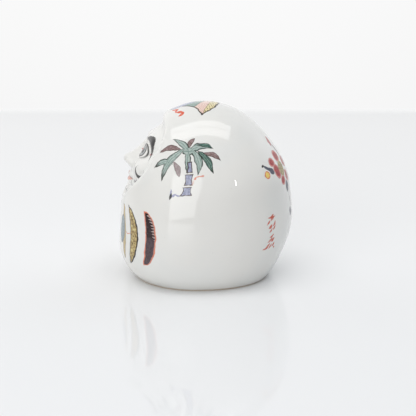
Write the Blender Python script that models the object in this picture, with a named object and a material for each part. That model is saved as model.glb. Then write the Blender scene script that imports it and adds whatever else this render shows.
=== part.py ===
"""A small porcelain daruma: one slip-cast, glazed figure in a hooded robe, closed all round, standing on
a flat unglazed foot ring with a small vent hole in the middle of its underside.

Metres, +Z up. The figure looks along -Y, its left side is +X, and it stands on z = 0 with the middle of
its bounding box over the origin.
"""

import bpy
import bmesh
import numpy as np

# Sizes of the body, in metres
HEIGHT = 0.075            # from the floor to the crown of the hood
HALF_WIDTH = 0.035        # half the width from shoulder to shoulder, at the widest level
FRONT_DEPTH = 0.0325      # from the body's upright line to the front of the robe
BACK_DEPTH = 0.0414       # from the same line to the round back
GIRTH_HEIGHT = 0.0228     # height of the widest level over the floor
FRONT_TUCK_DEPTH = 0.0348  # how far under the widest level the front would close if the floor didn't cut it
BACK_TUCK_DEPTH = 0.0384  # the same at the back, where the wall comes down more upright
FRONT_ROUNDNESS = 2.05    # 2 is a plain oval seen from above, more is squarer
BACK_ROUNDNESS = 2.2
GIRTH_SLOPE = 0.0995      # rise of the widest level from front to back, per metre of depth
ROBE_SWELL = 0.0010       # extra fullness low on the front of the robe
ROBE_SWELL_HEIGHT = 0.0105
ROBE_SWELL_SPREAD = 0.0080
HEEL_TUCK = 0.0012        # how much further in the front's wall turns over its last stretch to the floor
HEEL_TUCK_HEIGHT = 0.0050
SHOULDER_SWELL = 0.00045  # extra fullness of the back at the shoulders
SHOULDER_HEIGHT = 0.0460
NAPE_HOLLOW = 0.00045     # slight flattening of the back between the shoulders and the crown
NAPE_HEIGHT = 0.0620
HIP_HOLLOW = 0.00055      # slight flattening low on the back, over the foot
HIP_HEIGHT = 0.0130
BACK_SPREAD = 0.0080      # how far up and down these three reach

# Sizes of the underside, in metres
FOOT_EDGE = 0.0007        # small slanted edge between the wall and the foot ring
FOOT_RING_WIDTH = 0.0035  # flat unglazed ring that the figure stands on
FOOT_RECESS = 0.0012      # depth of the underside inside the ring
FOOT_RECESS_SLANT = 0.0006
VENT_DIAMETER = 0.005     # vent hole that let the air out of the closed cast while it was fired
VENT_DEPTH = 0.0035

# The face and the hood's opening are drawn on a canon: shares of the figure's height, in 75ths
PART = HEIGHT / 75.0
FACE_TILT = np.radians(24.0)   # the face looks up by this much
OPENING_MIDDLE = 38.5          # level of the opening's widest place, along the tilted face
OPENING_HALF_WIDTH = 19.2
OPENING_RISE = 18.6            # from the widest place up to the hood's edge over the forehead
OPENING_DROP = 19.5            # from the widest place down to the point of the collar
HEAD_STEP = 2.5                # how far the forehead lies behind the hood's edge
TEMPLE_STEP = 1.3              # how far the temples and cheeks lie behind it
COLLAR_STEP = 3.2              # how far the throat lies behind the collar
HOOD_ROLL = 0.5                # soft roll along the hood's edge

# Face by thirds of the opening's height (hood, brow, foot of the nose, chin) and fifths of its width
BROW_LEVEL = 46.5
NOSE_LEVEL = 33.0
CHIN_LEVEL = 21.5
EYE_LEVEL = 42.0
EYE_OFFSET = 8.0
MOUTH_LEVEL = 28.0

# Mesh density
COLUMNS = 90
ROWS_BELOW = 9
ROWS_ABOVE = 39
FRONT_CROWDING = 0.45          # draws the columns together in front, where the face is
VENT_SIDES = 20


def soft_step(low, high, value):
    """0 below low, 1 above high, and an S-shaped change between them."""
    t = np.clip((value - low) / (high - low), 0.0, 1.0)
    return t * t * (3.0 - 2.0 * t)


def bump(u, v, at_u, at_v, wide, tall):
    """A soft round rise of height 1 at one place of the face."""
    return np.exp(-((u - at_u) / wide) ** 2 - ((v - at_v) / tall) ** 2)


def ridge(across, half):
    """A soft ridge of height 1 along the line where across is zero."""
    return np.exp(-(across / half) ** 2)


def opening_edge(u, v):
    """Distance from the hood's edge across the face, in parts: negative inside the opening."""
    lift = v - OPENING_MIDDLE
    span = np.where(lift > 0.0, OPENING_RISE, OPENING_DROP)
    power = np.where(lift > 0.0, 2.8, 1.6)
    side = np.sqrt(u * u + 1.0) / OPENING_HALF_WIDTH
    k = (side ** power + (np.abs(lift) / span + 1e-6) ** power) ** (1.0 / power)
    reach = np.hypot(u, lift) + 1e-6
    return np.clip(reach - reach / k, -OPENING_DROP, 40.0)


def opening_relief(u, v):
    """The step from the hood and collar down to the skin, with the soft roll along the edge."""
    edge = opening_edge(u, v)
    step = TEMPLE_STEP + (HEAD_STEP - TEMPLE_STEP) * soft_step(50.0, 57.0, v)
    step = step + (COLLAR_STEP - TEMPLE_STEP) * soft_step(36.0, 25.0, v)
    brim = soft_step(48.0, 56.0, v)
    roll = HOOD_ROLL * (1.0 + 0.6 * brim) * ridge(edge - 2.4, 2.4)
    return roll - step * soft_step(0.8 + 0.4 * brim, -2.0 - 2.6 * brim, edge)


def nose_relief(u, v):
    """Nose: a ridge that grows from the brow to the tip, with a ball, two wings and two nostrils."""
    side = np.abs(u)
    grow = soft_step(BROW_LEVEL + 1.0, NOSE_LEVEL + 2.2, v)
    under = soft_step(NOSE_LEVEL - 1.7, NOSE_LEVEL + 0.5, v)
    half = 2.1 + 1.3 * grow
    bridge = (0.7 + 2.5 * grow) * np.exp(-(side / half) ** 2.3) * under
    bridge = bridge * soft_step(BROW_LEVEL + 4.5, BROW_LEVEL - 2.0, v)
    ball = 1.9 * bump(u, v, 0.0, NOSE_LEVEL + 2.0, 2.6, 2.5)
    wings = 1.6 * bump(side, v, 3.6, NOSE_LEVEL + 0.9, 1.5, 1.6)
    nostrils = 0.9 * bump(side, v, 1.9, NOSE_LEVEL - 0.9, 1.0, 0.7)
    return bridge + ball + wings - nostrils


def eye_relief(u, v):
    """Brow ridges, hollows, closed round eyeballs and the fold of each lid."""
    side = np.abs(u)
    arch = BROW_LEVEL + 1.3 - 0.025 * (side - EYE_OFFSET) ** 2
    brow = 1.2 * ridge(v - arch, 2.1) * soft_step(0.5, 4.5, side) * soft_step(17.0, 11.0, side)
    hollow = 1.3 * bump(side, v, EYE_OFFSET, EYE_LEVEL, 5.6, 3.7)
    corner = 0.6 * bump(side, v, 3.3, EYE_LEVEL + 0.8, 1.8, 2.6)
    from_eye = np.abs(side - EYE_OFFSET)
    round_eye = 1.0 - (from_eye / 4.6) ** 2 - ((v - EYE_LEVEL) / 3.6) ** 2
    ball = 2.0 * np.sqrt(np.clip(round_eye, 0.0, 1.0) + 0.01) - 0.2
    lid_line = EYE_LEVEL + 3.0 - 0.09 * from_eye ** 2
    lid = 0.4 * ridge(v - lid_line, 0.6) * soft_step(5.2, 3.2, from_eye)
    bag_line = EYE_LEVEL - 3.2 + 0.07 * from_eye ** 2
    bag = 0.3 * ridge(v - bag_line, 0.7) * soft_step(4.8, 2.8, from_eye)
    return brow - hollow - corner + ball + lid + bag


def mouth_relief(u, v):
    """Cheeks, the rise round the mouth, two lips with a calm line between them, and the chin."""
    side = np.abs(u)
    cheeks = 1.5 * bump(side, v, 11.0, 34.5, 5.0, 4.6)
    rise = 1.9 * bump(side, v, 0.0, MOUTH_LEVEL + 0.6, 7.4, 4.8)
    groove = 0.35 * bump(u, v, 0.0, MOUTH_LEVEL + 2.9, 0.9, 1.3)
    fold = 0.35 * ridge(side - 6.6 - 0.28 * (NOSE_LEVEL - v), 0.9) * bump(side, v, 7.0, 30.5, 30.0, 3.2)
    bow = MOUTH_LEVEL + 1.2 - 0.35 * np.exp(-(u / 1.0) ** 2) - 0.016 * side ** 2
    upper = 0.85 * ridge(v - bow, 0.85) * soft_step(6.6, 3.6, side)
    lower = 1.1 * ridge(v - MOUTH_LEVEL + 1.45 - 0.02 * side ** 2, 1.0) * soft_step(5.6, 2.4, side)
    line = 0.75 * ridge(v - MOUTH_LEVEL - 0.012 * side ** 2, 0.42) * soft_step(7.4, 5.4, side)
    dip = 0.7 * bump(u, v, 0.0, MOUTH_LEVEL - 3.5, 4.2, 1.1)
    chin = 2.9 * bump(u, v, 0.0, CHIN_LEVEL, 5.0, 2.9)
    return cheeks + rise - groove - fold + upper + lower - line - dip + chin


def face_relief(x, y, z):
    """Height of the carving over the plain body, in metres, at a point in front."""
    u = x / PART
    v = (y * np.sin(FACE_TILT) + z * np.cos(FACE_TILT)) / PART
    inside = soft_step(-0.2, -3.2, opening_edge(u, v))
    skin = nose_relief(u, v) + eye_relief(u, v) + mouth_relief(u, v)
    in_front = soft_step(2.0, -6.0, y / PART)
    return (opening_relief(u, v) + skin * inside) * in_front * PART


def fullness(y, z):
    """How far the wall stands out from the plain egg shape, in metres."""
    front = soft_step(0.0, -0.6 * FRONT_DEPTH, y)
    back = soft_step(0.0, 0.6 * BACK_DEPTH, y)
    robe = ROBE_SWELL * ridge(z - ROBE_SWELL_HEIGHT, ROBE_SWELL_SPREAD)
    heel = HEEL_TUCK * np.clip(1.0 - z / HEEL_TUCK_HEIGHT, 0.0, 1.0) ** 2
    shoulder = SHOULDER_SWELL * ridge(z - SHOULDER_HEIGHT, BACK_SPREAD)
    nape = NAPE_HOLLOW * ridge(z - NAPE_HEIGHT, BACK_SPREAD)
    hip = HIP_HOLLOW * ridge(z - HIP_HEIGHT, BACK_SPREAD)
    return (robe - heel) * front + (shoulder - nape - hip) * back


def body_field(x, y, z):
    """Below zero inside the figure and above zero outside, close to a distance near its surface."""
    depth = np.where(y > 0.0, BACK_DEPTH, FRONT_DEPTH)
    rise = z - GIRTH_HEIGHT - GIRTH_SLOPE * y
    crown = np.sqrt((HEIGHT - GIRTH_HEIGHT) ** 2 - (GIRTH_SLOPE * BACK_DEPTH) ** 2)
    upright = soft_step(-0.6 * FRONT_DEPTH, 0.6 * BACK_DEPTH, y)
    tuck = FRONT_TUCK_DEPTH + (BACK_TUCK_DEPTH - FRONT_TUCK_DEPTH) * upright
    reach = np.where(rise > 0.0, crown, tuck)
    power = np.where(y > 0.0, BACK_ROUNDNESS, FRONT_ROUNDNESS)
    side = np.abs(x) / HALF_WIDTH
    ahead = np.abs(y) / depth
    plan = (side ** power + ahead ** power + 1e-12) ** (1.0 / power)
    k = np.sqrt(plan ** 2 + (rise / reach) ** 2)
    slope_x = plan ** (2.0 - power) * side ** (power - 1.0) / HALF_WIDTH
    slope_z = rise / reach ** 2
    slope_y = np.sign(y) * plan ** (2.0 - power) * ahead ** (power - 1.0) / depth - GIRTH_SLOPE * slope_z
    plain = (k - 1.0) * k / np.sqrt(slope_x ** 2 + slope_y ** 2 + slope_z ** 2)
    return plain - fullness(y, z) - face_relief(x, y, z)


def surface_distance(origin_z, direction):
    """Distance from a point on the body's upright line to the surface, along each direction."""
    near = np.full(direction.shape[:-1], 0.2 * FRONT_DEPTH)
    far = np.full(direction.shape[:-1], 1.5 * max(HEIGHT, BACK_DEPTH, HALF_WIDTH))
    for _ in range(36):
        middle = 0.5 * (near + far)
        at = direction * middle[..., None]
        outside = body_field(at[..., 0], at[..., 1], at[..., 2] + origin_z) > 0.0
        far = np.where(outside, middle, far)
        near = np.where(outside, near, middle)
    return 0.5 * (near + far)


def column_angles(count):
    """Angles round the body, measured from the front and closer together there."""
    step = np.linspace(-np.pi, np.pi, count, endpoint=False)
    return step - FRONT_CROWDING * np.sin(step)


def body_rings(columns, rows_below, rows_above):
    """Rings of points from the foot to just under the crown, and the crown's own point."""
    angle = column_angles(columns)
    around = np.stack([np.sin(angle), -np.cos(angle), np.zeros_like(angle)], axis=-1)
    middle = 0.4 * HEIGHT
    rings = []
    for level in np.linspace(FOOT_EDGE, middle, rows_below, endpoint=False):
        ring = around * surface_distance(level, around)[:, None]
        ring[:, 2] = level
        rings.append(ring)
    foot = rings[0] - around * FOOT_EDGE
    foot[:, 2] = 0.0
    rings.insert(0, foot)
    up = np.array([0.0, 0.0, 1.0])
    for lift in np.linspace(0.0, np.pi / 2, rows_above, endpoint=False):
        direction = around * np.cos(lift) + up * np.sin(lift)
        ring = direction * surface_distance(middle, direction)[:, None]
        ring[:, 2] += middle
        rings.append(ring)
    crown = up * (middle + surface_distance(middle, up[None, :])[0])
    return rings, crown


def make_figure():
    """The figure as one closed body: walls from rings, then the foot ring and recess by insets."""
    rings, crown = body_rings(COLUMNS, ROWS_BELOW, ROWS_ABOVE)
    points = np.concatenate(rings)
    to_middle = 0.5 * (points[:, 1].min() + points[:, 1].max())
    bm = bmesh.new()
    loops = [[bm.verts.new((x, y - to_middle, z)) for x, y, z in ring] for ring in rings]
    top = bm.verts.new((crown[0], crown[1] - to_middle, crown[2]))
    for lower, upper in zip(loops, loops[1:]):
        for i in range(COLUMNS):
            j = (i + 1) % COLUMNS
            bm.faces.new((lower[i], lower[j], upper[j], upper[i]))
    for i in range(COLUMNS):
        bm.faces.new((loops[-1][i], loops[-1][(i + 1) % COLUMNS], top))
    underside = bm.faces.new(list(reversed(loops[0])))
    bmesh.ops.recalc_face_normals(bm, faces=bm.faces)
    bmesh.ops.inset_individual(bm, faces=[underside], thickness=FOOT_RING_WIDTH)
    bmesh.ops.inset_individual(bm, faces=[underside], thickness=FOOT_RECESS_SLANT, depth=-FOOT_RECESS)
    mesh = bpy.data.meshes.new("daruma_figure")
    bm.to_mesh(mesh)
    bm.free()
    mesh.shade_smooth()
    mesh.set_sharp_from_angle(angle=np.radians(50.0))
    figure = bpy.data.objects.new("daruma_figure", mesh)
    bpy.context.collection.objects.link(figure)
    return figure


def cut_vent(figure):
    """The vent hole in the middle of the underside, as a Boolean cut."""
    over = 0.002
    bpy.ops.mesh.primitive_cylinder_add(vertices=VENT_SIDES, radius=VENT_DIAMETER / 2, depth=VENT_DEPTH + over)
    cutter = bpy.context.object
    cutter.name = "vent_cutter"
    cutter.location = (0.0, 0.0, FOOT_RECESS + (VENT_DEPTH - over) / 2)
    cutter.display_type = "WIRE"
    cutter.hide_render = True
    cut = figure.modifiers.new("vent", "BOOLEAN")
    cut.operation = "DIFFERENCE"
    cut.solver = "EXACT"
    cut.object = cutter


def glazed_porcelain():
    """White porcelain under a clear glossy glaze."""
    material = bpy.data.materials.new("glazed_porcelain")
    material.use_nodes = True
    shader = material.node_tree.nodes["Principled BSDF"]
    shader.inputs["Base Color"].default_value = (0.80, 0.80, 0.78, 1.0)
    shader.inputs["Roughness"].default_value = 0.12
    shader.inputs["Metallic"].default_value = 0.0
    return material


def main():
    for thing in list(bpy.data.objects):
        bpy.data.objects.remove(thing, do_unlink=True)
    figure = make_figure()
    figure.data.materials.append(glazed_porcelain())
    cut_vent(figure)


main()
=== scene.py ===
"""A small painted porcelain daruma on a pale glossy table.

The body is one slip-cast, glazed piece. Its form is worked out point by point from the maker's sizes, and
the overglaze painting is drawn in shader nodes on flat or wrapped sheets laid against the body.
"""

import math

import bpy
import numpy as np
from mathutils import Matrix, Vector


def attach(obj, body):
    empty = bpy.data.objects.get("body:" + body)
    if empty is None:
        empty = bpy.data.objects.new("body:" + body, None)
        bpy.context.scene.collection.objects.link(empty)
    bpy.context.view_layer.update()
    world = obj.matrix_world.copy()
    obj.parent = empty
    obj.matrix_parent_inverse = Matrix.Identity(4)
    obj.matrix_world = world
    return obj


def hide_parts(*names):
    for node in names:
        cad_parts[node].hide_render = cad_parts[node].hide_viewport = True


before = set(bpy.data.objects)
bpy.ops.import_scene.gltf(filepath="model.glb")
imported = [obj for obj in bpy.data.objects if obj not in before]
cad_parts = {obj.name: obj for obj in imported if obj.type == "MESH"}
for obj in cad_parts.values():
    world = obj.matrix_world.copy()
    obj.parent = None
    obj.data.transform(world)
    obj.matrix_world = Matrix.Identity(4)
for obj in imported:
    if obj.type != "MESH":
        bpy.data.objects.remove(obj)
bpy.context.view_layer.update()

bl_info = {
    "name": "Painted Porcelain Daruma",
    "version": (1, 0, 0),
    "blender": (4, 5, 0),
    "location": "View3D > Sidebar > Daruma",
    "description": "Builds a glazed and enamelled porcelain daruma and a pale studio table",
    "category": "Add Mesh",
}

CAD_NODE = "daruma_figure"
MM = 0.001


# Sizes and colours that a user would change

def tone(red, green, blue):
    """A painter's 0 to 255 tone as the linear colour that a shader takes."""
    def linear(value):
        value = value / 255.0
        return value / 12.92 if value <= 0.04045 else ((value + 0.055) / 1.055) ** 2.4
    return (linear(red), linear(green), linear(blue))


def length(label, text, default):
    return bpy.props.FloatProperty(
        name=label, description=text, default=default, min=0.0, unit="LENGTH", precision=5)


def colour(label, text, default):
    return bpy.props.FloatVectorProperty(
        name=label, description=text, default=default, subtype="COLOR", size=3, min=0.0, max=1.0)


def count(label, text, default, low):
    return bpy.props.IntProperty(name=label, description=text, default=default, min=low)


class DarumaForm(bpy.types.PropertyGroup):
    """Sizes of the cast body."""
    height: length("Height", "From the table to the crown of the hood", 0.075)
    half_width: length("Half width", "Half the width at the widest level", 0.035)
    front_depth: length("Front depth", "From the upright line to the front of the robe", 0.0325)
    back_depth: length("Back depth", "From the upright line to the round back", 0.0414)
    girth_height: length("Girth height", "Height of the widest level", 0.0228)
    front_tuck: length("Front tuck", "How far under the widest level the front would close", 0.0348)
    back_tuck: length("Back tuck", "How far under the widest level the back would close", 0.0384)
    foot_edge: length("Foot edge", "Slanted edge between the wall and the foot ring", 0.0007)
    foot_ring: length("Foot ring", "Width of the unglazed ring", 0.0035)
    foot_recess: length("Foot recess", "Depth of the underside inside the ring", 0.0012)
    recess_slant: length("Recess slant", "Width of the slant into the recess", 0.0006)
    vent_diameter: length("Vent diameter", "Vent hole in the underside", 0.005)
    vent_depth: length("Vent depth", "Depth of the vent hole", 0.0035)
    glaze_wave: length("Glaze wave", "Height of the long soft waves in the glaze", 0.00003)
    columns: count("Columns", "Columns of faces round the body", 360, 24)
    rows_below: count("Rows below", "Rows of faces on the lower wall", 46, 4)
    rows_above: count("Rows above", "Rows of faces up to the crown", 186, 8)


class DarumaPaint(bpy.types.PropertyGroup):
    """Colours of the glaze and of the overglaze enamels."""
    glaze: colour("Glaze", "White porcelain under clear glaze", tone(239, 238, 234))
    pooled_glaze: colour("Pooled glaze", "Glaze where it lies thick", tone(231, 234, 233))
    biscuit: colour("Biscuit", "Unglazed foot", tone(206, 190, 168))
    foot_line: colour("Foot line", "Toasted line where the glaze ends", tone(190, 168, 146))
    line: colour("Line", "Outlines and veins", tone(62, 54, 50))
    black: colour("Black", "Brows, moustache and leaf tips", tone(30, 28, 27))
    grey: colour("Grey", "Iris and beard", tone(150, 156, 156))
    green: colour("Green", "Light leaves", tone(166, 188, 184))
    deep_green: colour("Deep green", "Dark fronds", tone(102, 138, 124))
    violet: colour("Violet", "Trunk and ribbon", tone(168, 173, 200))
    ochre: colour("Ochre", "First and second robe folds", tone(185, 159, 93))
    sky: colour("Sky", "Oval over the first robe fold", tone(138, 154, 160))
    red: colour("Red", "Petals, lips and strokes", tone(178, 72, 68))
    orange: colour("Orange", "Outline of the third robe fold, lips and dabs", tone(222, 126, 96))
    yellow: colour("Yellow", "Book panel and flower middle", tone(244, 214, 112))
    pink: colour("Pink", "Book panel", tone(244, 222, 212))
    teal: colour("Teal", "Book panel", tone(154, 178, 172))
    navy: colour("Navy", "Small leaves on the back", tone(32, 38, 64))


class DarumaStage(bpy.types.PropertyGroup):
    """Table, its glowing end at the backdrop, and camera."""
    lens: bpy.props.FloatProperty(name="Lens", description="Focal length of the camera", default=129.8,
                                  min=1.0, subtype="DISTANCE_CAMERA")
    distance: length("Distance", "From the camera to the point it looks at", 0.645)
    pitch: bpy.props.FloatProperty(name="Pitch", description="How far the camera looks down", default=0.2551,
                                   subtype="ANGLE")
    aim_side: length("Aim sideways", "Sideways place of the point it looks at", 0.00105)
    aim_height: length("Aim height", "Height of the point it looks at", 0.02866)
    table_edge: length("Table edge", "How far behind the figure the table ends", 0.376)
    # The near and far table tones are painted shade and painted light: the table is coloured darker toward the
    # viewer and lighter behind the figure, in place of uneven light on it
    table_near_painted_shade: colour("Table, near", "Glossy acrylic table toward the viewer", tone(239, 240, 241))
    table_far_painted_light: colour("Table, far", "Glossy acrylic table behind the figure", tone(253, 253, 253))
    table_end: colour("Table, end", "Glow where the table melts into the backdrop", tone(207, 208, 208))


# Form of the cast body. The hood's opening and the face are in parts of 1/75 of the height,
# and their levels are measured up along the tilted face.

OPENING_MIDDLE = 38.5           # level of the opening's widest place
OPENING_HALF_WIDTH = 19.2
OPENING_RISE = 18.6             # from there up to the hood's edge
OPENING_DROP = 19.5             # and down to the point of the collar
HEAD_STEP = 2.5                 # how far the forehead lies behind the hood's edge
TEMPLE_STEP = 1.3               # the same for the temples and cheeks
COLLAR_STEP = 3.2               # and for the throat behind the collar
HOOD_ROLL = 0.5
BROW_LEVEL = 46.5
EYE_LEVEL = 42.0
EYE_OFFSET = 8.0
NOSE_LEVEL = 33.0
MOUTH_LEVEL = 28.0
CHIN_LEVEL = 21.5
FACE_TILT = math.radians(24.0)  # the face looks up by this much
FRONT_ROUNDNESS = 2.05          # 2 is a plain oval seen from above, more is squarer
BACK_ROUNDNESS = 2.2
GIRTH_SLOPE = 0.0995            # rise of the widest level from front to back, per metre of depth
FRONT_CROWDING = 0.45           # draws the columns of faces together where the face is
MIDDLE_SHIFT = 4.22             # millimetres from the body's upright line to the middle of its box
HALVINGS = 30                   # steps of the search for the surface
HALF_FRONT = math.radians(115)  # half of the turn that the map's front strip takes


def soft_step(low, high, value):
    """0 below low, 1 above high, and an S-shaped change between them."""
    t = np.clip((value - low) / (high - low), 0.0, 1.0)
    return t * t * (3.0 - 2.0 * t)


def bump(u, v, at_u, at_v, wide, tall):
    """A soft round rise of height 1 at one place of the face."""
    return np.exp(-((u - at_u) / wide) ** 2 - ((v - at_v) / tall) ** 2)


def ridge(across, half):
    """A soft ridge of height 1 along the line where across is zero."""
    return np.exp(-(across / half) ** 2)


def opening_edge(u, v):
    """Distance from the hood's edge across the face, in parts: negative inside the opening."""
    lift = v - OPENING_MIDDLE
    span = np.where(lift > 0.0, OPENING_RISE, OPENING_DROP)
    power = np.where(lift > 0.0, 2.8, 1.6)
    side = np.sqrt(u * u + 1.0) / OPENING_HALF_WIDTH
    k = (side ** power + (np.abs(lift) / span + 1e-6) ** power) ** (1.0 / power)
    reach = np.hypot(u, lift) + 1e-6
    return np.clip(reach - reach / k, -OPENING_DROP, 40.0)


def opening_relief(u, v):
    """The step from the hood and collar down to the skin, with the soft roll along the edge."""
    edge = opening_edge(u, v)
    step = TEMPLE_STEP + (HEAD_STEP - TEMPLE_STEP) * soft_step(50.0, 57.0, v)
    step = step + (COLLAR_STEP - TEMPLE_STEP) * soft_step(36.0, 25.0, v)
    brim = soft_step(48.0, 56.0, v)
    roll = HOOD_ROLL * (1.0 + 0.6 * brim) * ridge(edge - 2.4, 2.4)
    return roll - step * soft_step(0.8 + 0.4 * brim, -2.0 - 2.6 * brim, edge)


def nose_relief(u, v):
    """Nose: a ridge that grows from the brow to the tip, with a ball, two wings and two nostrils."""
    side = np.abs(u)
    grow = soft_step(BROW_LEVEL + 1.0, NOSE_LEVEL + 2.2, v)
    under = soft_step(NOSE_LEVEL - 1.7, NOSE_LEVEL + 0.5, v)
    half = 2.1 + 1.3 * grow
    bridge = (0.7 + 2.5 * grow) * np.exp(-(side / half) ** 2.3) * under
    bridge = bridge * soft_step(BROW_LEVEL + 4.5, BROW_LEVEL - 2.0, v)
    ball = 1.9 * bump(u, v, 0.0, NOSE_LEVEL + 2.0, 2.6, 2.5)
    wings = 1.6 * bump(side, v, 3.6, NOSE_LEVEL + 0.9, 1.5, 1.6)
    nostrils = 0.9 * bump(side, v, 1.9, NOSE_LEVEL - 0.9, 1.0, 0.7)
    return bridge + ball + wings - nostrils


def eye_relief(u, v):
    """Brow ridges, hollows, round eyeballs and the fold of each lid."""
    side = np.abs(u)
    arch = BROW_LEVEL + 1.3 - 0.025 * (side - EYE_OFFSET) ** 2
    brow = 1.2 * ridge(v - arch, 2.1) * soft_step(0.5, 4.5, side) * soft_step(17.0, 11.0, side)
    hollow = 1.3 * bump(side, v, EYE_OFFSET, EYE_LEVEL, 5.6, 3.7)
    corner = 0.6 * bump(side, v, 3.3, EYE_LEVEL + 0.8, 1.8, 2.6)
    from_eye = np.abs(side - EYE_OFFSET)
    round_eye = 1.0 - (from_eye / 4.6) ** 2 - ((v - EYE_LEVEL) / 3.6) ** 2
    ball = 2.0 * np.sqrt(np.clip(round_eye, 0.0, 1.0) + 0.01) - 0.2
    lid_line = EYE_LEVEL + 3.0 - 0.09 * from_eye ** 2
    lid = 0.4 * ridge(v - lid_line, 0.6) * soft_step(5.2, 3.2, from_eye)
    bag_line = EYE_LEVEL - 3.2 + 0.07 * from_eye ** 2
    bag = 0.3 * ridge(v - bag_line, 0.7) * soft_step(4.8, 2.8, from_eye)
    return brow - hollow - corner + ball + lid + bag


def mouth_relief(u, v):
    """Cheeks, the rise round the mouth, two lips with a calm line between them, and the chin."""
    side = np.abs(u)
    cheeks = 1.5 * bump(side, v, 11.0, 34.5, 5.0, 4.6)
    rise = 1.9 * bump(side, v, 0.0, MOUTH_LEVEL + 0.6, 7.4, 4.8)
    groove = 0.35 * bump(u, v, 0.0, MOUTH_LEVEL + 2.9, 0.9, 1.3)
    fold = 0.35 * ridge(side - 6.6 - 0.28 * (NOSE_LEVEL - v), 0.9) * bump(side, v, 7.0, 30.5, 30.0, 3.2)
    bow = MOUTH_LEVEL + 1.2 - 0.35 * np.exp(-(u / 1.0) ** 2) - 0.016 * side ** 2
    upper = 0.85 * ridge(v - bow, 0.85) * soft_step(6.6, 3.6, side)
    lower = 1.1 * ridge(v - MOUTH_LEVEL + 1.45 - 0.02 * side ** 2, 1.0) * soft_step(5.6, 2.4, side)
    line = 0.75 * ridge(v - MOUTH_LEVEL - 0.012 * side ** 2, 0.42) * soft_step(7.4, 5.4, side)
    dip = 0.7 * bump(u, v, 0.0, MOUTH_LEVEL - 3.5, 4.2, 1.1)
    chin = 2.9 * bump(u, v, 0.0, CHIN_LEVEL, 5.0, 2.9)
    return cheeks + rise - groove - fold + upper + lower - line - dip + chin


def face_relief(form, x, y, z):
    """Height of the carving over the plain body, in metres, at a point in front."""
    part = form.height / 75.0
    u = x / part
    v = (y * math.sin(FACE_TILT) + z * math.cos(FACE_TILT)) / part
    inside = soft_step(-0.2, -3.2, opening_edge(u, v))
    skin = nose_relief(u, v) + eye_relief(u, v) + mouth_relief(u, v)
    in_front = soft_step(2.0, -6.0, y / part)
    return (opening_relief(u, v) + skin * inside) * in_front * part


def fullness(form, y, z):
    """How far the wall stands out from the plain egg shape, in metres."""
    front = soft_step(0.0, -0.6 * form.front_depth, y)
    back = soft_step(0.0, 0.6 * form.back_depth, y)
    robe = 0.0010 * ridge(z - 0.0105, 0.0080)
    heel = 0.0012 * np.clip(1.0 - z / 0.0050, 0.0, 1.0) ** 2
    shoulder = 0.00045 * ridge(z - 0.0460, 0.0080)
    nape = 0.00045 * ridge(z - 0.0620, 0.0080)
    hip = 0.00055 * ridge(z - 0.0130, 0.0080)
    return (robe - heel) * front + (shoulder - nape - hip) * back


def glaze_waves(form, x, y, z):
    """Long soft waves of the fired glaze, which make its reflections wander a little."""
    wave = np.sin(x * 410.0 + 1.3 * np.sin(z * 170.0)) + np.sin(y * 350.0 + z * 240.0)
    wave = wave + np.sin(z * 520.0 - x * 130.0 + 1.7 * np.sin(y * 150.0))
    return form.glaze_wave * wave / 3.0 * soft_step(0.002, 0.010, z)


def body_field(form, x, y, z):
    """Below zero inside the figure and above zero outside, close to a distance near its surface."""
    depth = np.where(y > 0.0, form.back_depth, form.front_depth)
    rise = z - form.girth_height - GIRTH_SLOPE * y
    crown = math.sqrt((form.height - form.girth_height) ** 2 - (GIRTH_SLOPE * form.back_depth) ** 2)
    upright = soft_step(-0.6 * form.front_depth, 0.6 * form.back_depth, y)
    tuck = form.front_tuck + (form.back_tuck - form.front_tuck) * upright
    reach = np.where(rise > 0.0, crown, tuck)
    power = np.where(y > 0.0, BACK_ROUNDNESS, FRONT_ROUNDNESS)
    side = np.abs(x) / form.half_width
    ahead = np.abs(y) / depth
    plan = (side ** power + ahead ** power + 1e-12) ** (1.0 / power)
    k = np.sqrt(plan ** 2 + (rise / reach) ** 2)
    slope_x = plan ** (2.0 - power) * side ** (power - 1.0) / form.half_width
    slope_z = rise / reach ** 2
    slope_y = np.sign(y) * plan ** (2.0 - power) * ahead ** (power - 1.0) / depth - GIRTH_SLOPE * slope_z
    plain = (k - 1.0) * k / np.sqrt(slope_x ** 2 + slope_y ** 2 + slope_z ** 2)
    return plain - fullness(form, y, z) - face_relief(form, x, y, z) - glaze_waves(form, x, y, z)


def surface_distance(form, origin_z, direction):
    """Distance from a point on the body's upright line to the surface, along each direction."""
    near = np.full(direction.shape[:-1], 0.2 * form.front_depth)
    far = np.full(direction.shape[:-1], 1.5 * max(form.height, form.back_depth, form.half_width))
    for _ in range(HALVINGS):
        middle = 0.5 * (near + far)
        at = direction * middle[..., None]
        outside = body_field(form, at[..., 0], at[..., 1], at[..., 2] + origin_z) > 0.0
        far = np.where(outside, middle, far)
        near = np.where(outside, near, middle)
    return 0.5 * (near + far)


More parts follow.
